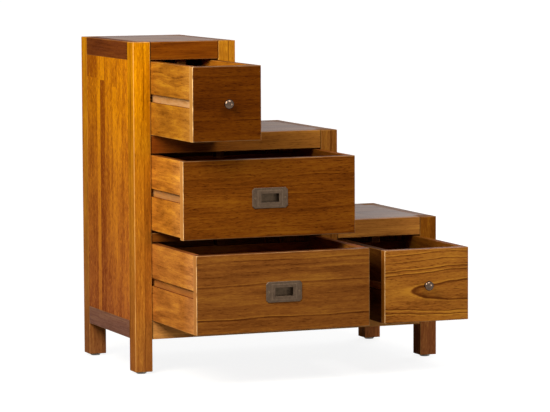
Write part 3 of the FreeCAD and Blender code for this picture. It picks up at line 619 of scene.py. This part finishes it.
# The pulls: bronzed brass, worn paler along the edges of the plate and of its border, with patina
# left in the hollow of the cup
pull = {
    "colour": "#504134",
    "roughness": 0.45,
    "cloud": 7,                    # mm
    "border": (28.5, 16.5),        # half width and half height, mm
    "recess": (20.5, 9),
    "worn": "#7C6854",
    "wornReach": (0.3, 1.6),       # mm from an edge: most worn, and not worn
    "wornCover": 0.3,
    "patina": "#2A2418",
    "patinaEdge": 0.5,             # mm over which it begins
    "patinaCover": 0.4,
}
for name in ("upper_drawer_pull", "lower_drawer_pull"):
    bronze, tree, colour = metal(f"bronzed_brass_{name}", pull["colour"], pull["roughness"], pull["cloud"])
    low, high = (Vector(corner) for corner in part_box(name))
    local = addNode(tree, "VectorMath", {
        0: addNode(tree, "TexCoord").outputs["Object"], 1: (low + high) / 2,
    }, operation="SUBTRACT").outputs[0]
    local = addNode(tree, "VectorMath", {0: local}, operation="ABSOLUTE").outputs[0]
    local = addNode(tree, "VectorMath", {0: local, "Scale": 1 / millimetre}, operation="SCALE").outputs[0]
    plate = ((high.x - low.x) / 2 / millimetre, (high.z - low.z) / 2 / millimetre)
    worn = 0.0
    worst, none = pull["wornReach"]
    for half in (plate, pull["border"]):
        past = addNode(tree, "VectorMath", {
            0: local, 1: (half[0], 0, half[1]),
        }, operation="SUBTRACT").outputs[0]
        past = addNode(tree, "SeparateXYZ", {0: past}).outputs
        past = addNode(tree, "Math", {0: past["X"], 1: past["Z"]}, operation="MAXIMUM").outputs[0]
        past = addNode(tree, "Math", {0: past}, operation="ABSOLUTE").outputs[0]
        line = addNode(tree, "MapRange", {0: past, 1: worst, 2: none, 3: pull["wornCover"], 4: 0}).outputs[0]
        worn = addNode(tree, "Math", {0: line, 1: worn}, operation="MAXIMUM").outputs[0]
    inside = addNode(tree, "VectorMath", {
        0: (pull["recess"][0], 0, pull["recess"][1]), 1: local,
    }, operation="SUBTRACT").outputs[0]
    inside = addNode(tree, "SeparateXYZ", {0: inside}).outputs
    inside = addNode(tree, "Math", {0: inside["X"], 1: inside["Z"]}, operation="MINIMUM").outputs[0]
    edge, cover = pull["patinaEdge"], pull["patinaCover"]
    hollow = addNode(tree, "MapRange", {0: inside, 1: -edge, 2: edge, 3: 0, 4: cover}).outputs[0]
    for share, other in ((worn, pull["worn"]), (hollow, pull["patina"])):
        colour = addNode(tree, "Mix", {0: share, 6: colour, 7: linear(other)}, data_type="RGBA").outputs[2]
    tree.links.new(colour, tree.nodes["Principled BSDF"].inputs["Base Color"])
    paint(name, bronze)
print("pulls bronzed")

# Turned knobs: a foot disc, a straight neck that flares like a trumpet, and a domed head. Antiqued
# nickel, its colour darkened further as painted reflection of a dark room, with sharp highlights.
knob = {
    "colour": "#5A4A3E",
    "roughness": 0.14,
    "cloud": 9,                    # mm
    "shank": (2.0, 13.0),          # radius and length, mm
    "foot": (6.25, 1.8),
    "footRound": 0.5,
    "neck": (4.0, 5.0),
    "flare": 5.4,
    "rim": (10.5, 1.6),
    "rimRound": 0.35,
    "crown": 5.6,
    "steps": 12,                   # points along each curve
    "sides": 72,
}
nickel = metal("antiqued_nickel_knobs", knob["colour"], knob["roughness"], knob["cloud"])[0]


def knobProfile():  # distances from the front's face with the radius there, mm
    shankRadius, shankLength = knob["shank"]
    footRadius, foot = knob["foot"]
    neckRadius, neck = knob["neck"]
    rimRadius, rim = knob["rim"]
    turns = [step / knob["steps"] * math.pi / 2 for step in range(knob["steps"] + 1)]
    points = [(-shankLength, 0), (-shankLength, shankRadius), (0, shankRadius), (0, footRadius)]
    ease = knob["footRound"]
    start, radius = foot - ease, footRadius - ease
    points += [(start + ease * math.sin(turn), radius + ease * math.cos(turn)) for turn in turns]
    points.append((foot, neckRadius))
    ease = knob["rimRound"]
    start, radius = foot + neck, rimRadius - ease
    for turn in turns:
        grown = (radius - neckRadius) * (1 - math.cos(turn))
        points.append((start + knob["flare"] * math.sin(turn), neckRadius + grown))
    start += knob["flare"]
    points += [(start + ease * (1 - math.cos(turn)), radius + ease * math.sin(turn)) for turn in turns]
    start += rim
    points += [(start + knob["crown"] * math.sin(turn), rimRadius * math.cos(turn)) for turn in turns]
    return points


sharpAngle = math.radians(40)      # two faces that turn by more meet in a visible edge
onAxis = 1e-6                      # mm: a ring with a smaller radius is one point


def lathe(name, profile, sides, place):  # turned about a line that points to the front
    shape = bmesh.new()
    rings = []
    for distance, radius in profile:
        if radius < onAxis:
            rings.append([shape.verts.new(place + Vector((0, -distance, 0)) * millimetre)] * sides)
            continue
        ring = []
        for side in range(sides):
            turn = side / sides * math.tau
            point = Vector((radius * math.cos(turn), -distance, radius * math.sin(turn)))
            ring.append(shape.verts.new(place + point * millimetre))
        rings.append(ring)
    for ring, after in zip(rings, rings[1:]):
        for side in range(sides):
            corners = [ring[side], ring[side - 1], after[side - 1], after[side]]
            shape.faces.new(list(dict.fromkeys(corners)))
    bmesh.ops.recalc_face_normals(shape, faces=shape.faces)
    mesh = bpy.data.meshes.new(name)
    shape.to_mesh(mesh)
    shape.free()
    mesh.polygons.foreach_set("use_smooth", [True] * len(mesh.polygons))
    mesh.set_sharp_from_angle(angle=sharpAngle)
    piece = bpy.data.objects.new(name, mesh)
    bpy.context.scene.collection.objects.link(piece)
    return piece


for drawer in ("top_drawer", "side_drawer"):
    low, high = (Vector(corner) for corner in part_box(f"{drawer}_knob"))
    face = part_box(f"{drawer}_front")[0][1]
    place = Vector(((low.x + high.x) / 2, face, (low.z + high.z) / 2))
    piece = lathe(f"{drawer}_turned_knob", knobProfile(), knob["sides"], place)
    piece.data.materials.append(nickel)
    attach(piece, drawer)
    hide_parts(f"{drawer}_knob")
print("knobs turned")

# Each pull is held by two slotted screws, whose low domed heads stand on its plate
screw = {
    "colour": "#5A4A3A",
    "roughness": 0.4,
    "cloud": 3,                    # mm
    "spread": 35,                  # mm from the pull's middle
    "seat": 0.8,                   # the plate lies that far behind the border's face
    "head": (2.7, 0.15, 0.6),      # radius, height of its rim and of its dome
    "slot": (0.9, 0.1),            # width, and slope of its walls
    "floor": 0.2,                  # height of the slot's floor
    "turns": (25, 140, 70, 165),   # where each slot came to rest, degrees
    "steps": 6,                    # points along the dome
    "sides": 32,
    "weld": 1e-7,                  # metres: closer points count as one where the slot is cut
}
brass = metal("bronzed_brass_screws", screw["colour"], screw["roughness"], screw["cloud"])[0]


def headProfile():
    radius, rim, dome = screw["head"]
    bends = [step / screw["steps"] * math.pi / 2 for step in range(screw["steps"])]
    points = [(rim + (dome - rim) * math.sin(bend), radius * math.cos(bend)) for bend in bends]
    return [(0, 0), (0, radius), *points, (dome, 0)]


def cutSlot(piece, place, turn):
    across = Vector((-math.sin(turn), 0, math.cos(turn)))
    width, slope = screw["slot"]
    half = width / 2
    shape = bmesh.new()
    shape.from_mesh(piece.data)
    for gap in (half, -half, half - slope, slope - half):
        everything = [*shape.verts, *shape.edges, *shape.faces]
        bmesh.ops.bisect_plane(shape, geom=everything, dist=screw["weld"], plane_no=across,
                               plane_co=place + across * gap * millimetre)
    reach = (half - slope / 2) * millimetre
    floor = place.y - screw["floor"] * millimetre
    for vertex in shape.verts:
        if abs((vertex.co - place).dot(across)) < reach and vertex.co.y < floor:
            vertex.co.y = floor
    shape.to_mesh(piece.data)
    shape.free()


hands = [(drawer, hand) for drawer in ("upper_drawer", "lower_drawer") for hand in ("left", "right")]
for (drawer, hand), turn in zip(hands, screw["turns"]):
    low, high = (Vector(corner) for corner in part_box(f"{drawer}_pull"))
    place = Vector(((low.x + high.x) / 2, low.y + screw["seat"] * millimetre, (low.z + high.z) / 2))
    place.x += (screw["spread"] if hand == "right" else -screw["spread"]) * millimetre
    piece = lathe(f"{drawer}_pull_{hand}_screw", headProfile(), screw["sides"], place)
    cutSlot(piece, place, math.radians(turn))
    piece.data.materials.append(brass)
    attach(piece, drawer)
print("screws cut")

# Moulded plastic glides, off-white and dulled by scuffs
glide = {"scuffed": "#A8A298", "clean": "#F0ECE4", "roughness": 0.45, "scuff": 4}     # scuff: mm
plastic, tree, shader = newMaterial("moulded_plastic_glides", {"Roughness": glide["roughness"]})
scuffs = addNode(tree, "TexNoise", {
    "Vector": addNode(tree, "TexCoord").outputs["Object"], "Scale": 1 / (glide["scuff"] * millimetre),
    "Detail": 3,
}).outputs["Fac"]
ramp = addNode(tree, "ValToRGB", {0: scuffs})
for stop, shade in zip(ramp.color_ramp.elements, ("scuffed", "clean")):
    stop.color = linear(glide[shade])
tree.links.new(ramp.outputs["Color"], shader.inputs["Base Color"])
paint("leg_glides", plastic)
print("finishes done")

# Floor, world and lamps
studio = {
    "floorSize": 120,
    "floorColour": "#808080",
    "floorRoughness": 0.9,
    "floorGloss": 0.1,
    "floorWhite": 0.88,            # what the floor adds towards white beside the object
    "nearFloor": (1.2, 6.0),       # metres from the object: from there on the floor turns plain white
    "lamps": {
        "left": {"place": (-1.1, -1.0, 1.5), "size": 1.15, "power": 54, "colour": "#FFF6E6"},
        "front": {"place": (0.73, -1.8, 2.45), "size": 1.3, "power": 42, "colour": "#FFF9F0"},
        "low": {"place": (2.1, -2.2, 0.3), "size": 0.8, "power": 11, "colour": "#FFFAF4"},
        "back": {"place": (2.8, 2.2, 2.0), "size": 2.5, "power": 50, "colour": "#FFFFFF"},
    },
    "world": 0.03,
    "aim": (0.35, 0.0, 0.35),
}
mesh = bpy.data.meshes.new("floor")
shape = bmesh.new()
bmesh.ops.create_grid(shape, x_segments=1, y_segments=1, size=studio["floorSize"] / 2)
shape.to_mesh(mesh)
shape.free()
floor = bpy.data.objects.new("floor", mesh)
bpy.context.scene.collection.objects.link(floor)


def seenDirectly(tree):  # 1 for rays from the camera, from gloss and through glass
    rays = addNode(tree, "LightPath").outputs
    seen = rays["Is Camera Ray"]
    for other in ("Is Glossy Ray", "Is Transmission Ray"):
        seen = addNode(tree, "Math", {0: seen, 1: rays[other]}, operation="MAXIMUM").outputs[0]
    return seen


matt, tree, shader = newMaterial("matt_white_floor", {
    "Base Color": linear(studio["floorColour"]), "Roughness": studio["floorRoughness"],
    "Specular IOR Level": studio["floorGloss"],
})
place = addNode(tree, "TexCoord").outputs["Object"]
away = addNode(tree, "VectorMath", {0: place}, operation="LENGTH").outputs["Value"]
near, far = studio["nearFloor"]
white = addNode(tree, "MapRange", {0: away, 1: near, 2: far, 3: studio["floorWhite"], 4: 1.0}).outputs[0]
white = addNode(tree, "Math", {0: white, 1: seenDirectly(tree)}, operation="MULTIPLY").outputs[0]
glow = addNode(tree, "Emission", {"Strength": white})
both = addNode(tree, "AddShader", {0: shader.outputs[0], 1: glow.outputs[0]})
tree.links.new(both.outputs[0], tree.nodes["Material Output"].inputs["Surface"])
mesh.materials.append(matt)

world = bpy.data.worlds.new("studio")
bpy.context.scene.world = world
world.use_nodes = True
tree = world.node_tree
strength = addNode(tree, "MapRange", {0: seenDirectly(tree), 3: studio["world"], 4: 1.0}).outputs[0]
tree.links.new(strength, tree.nodes["Background"].inputs["Strength"])
tree.nodes["Background"].inputs["Color"].default_value = (1, 1, 1, 1)

for name, lamp in studio["lamps"].items():
    data = bpy.data.lights.new(name, "AREA")
    data.size = lamp["size"]
    data.energy = lamp["power"]
    data.color = linear(lamp["colour"])[:3]
    lampObject = bpy.data.objects.new(name, data)
    lampObject.location = lamp["place"]
    aim = Vector(studio["aim"]) - Vector(lamp["place"])
    lampObject.rotation_euler = aim.to_track_quat("-Z", "Y").to_euler()
    bpy.context.scene.collection.objects.link(lampObject)
print("studio lit")

view = {
    "place": (-2.2944, -6.5482, 1.0244),
    "turn": 21.774,                # degrees to the right of straight ahead
    "dip": 5.382,                  # degrees below level
    "roll": -0.27,
    "lens": 206.4,
    "clipEnd": 200,
}
camera = bpy.data.objects.new("camera", bpy.data.cameras.new("camera"))
camera.data.lens = view["lens"]
camera.data.clip_end = view["clipEnd"]
camera.location = view["place"]
turned = Matrix.Rotation(math.radians(-view["turn"]), 3, "Z")
dipped = Matrix.Rotation(math.radians(90 - view["dip"]), 3, "X")
rolled = Matrix.Rotation(math.radians(view["roll"]), 3, "Z")
camera.rotation_euler = (turned @ dipped @ rolled).to_euler()
bpy.context.scene.collection.objects.link(camera)
bpy.context.scene.camera = camera
bpy.context.scene.view_settings.view_transform = "Standard"
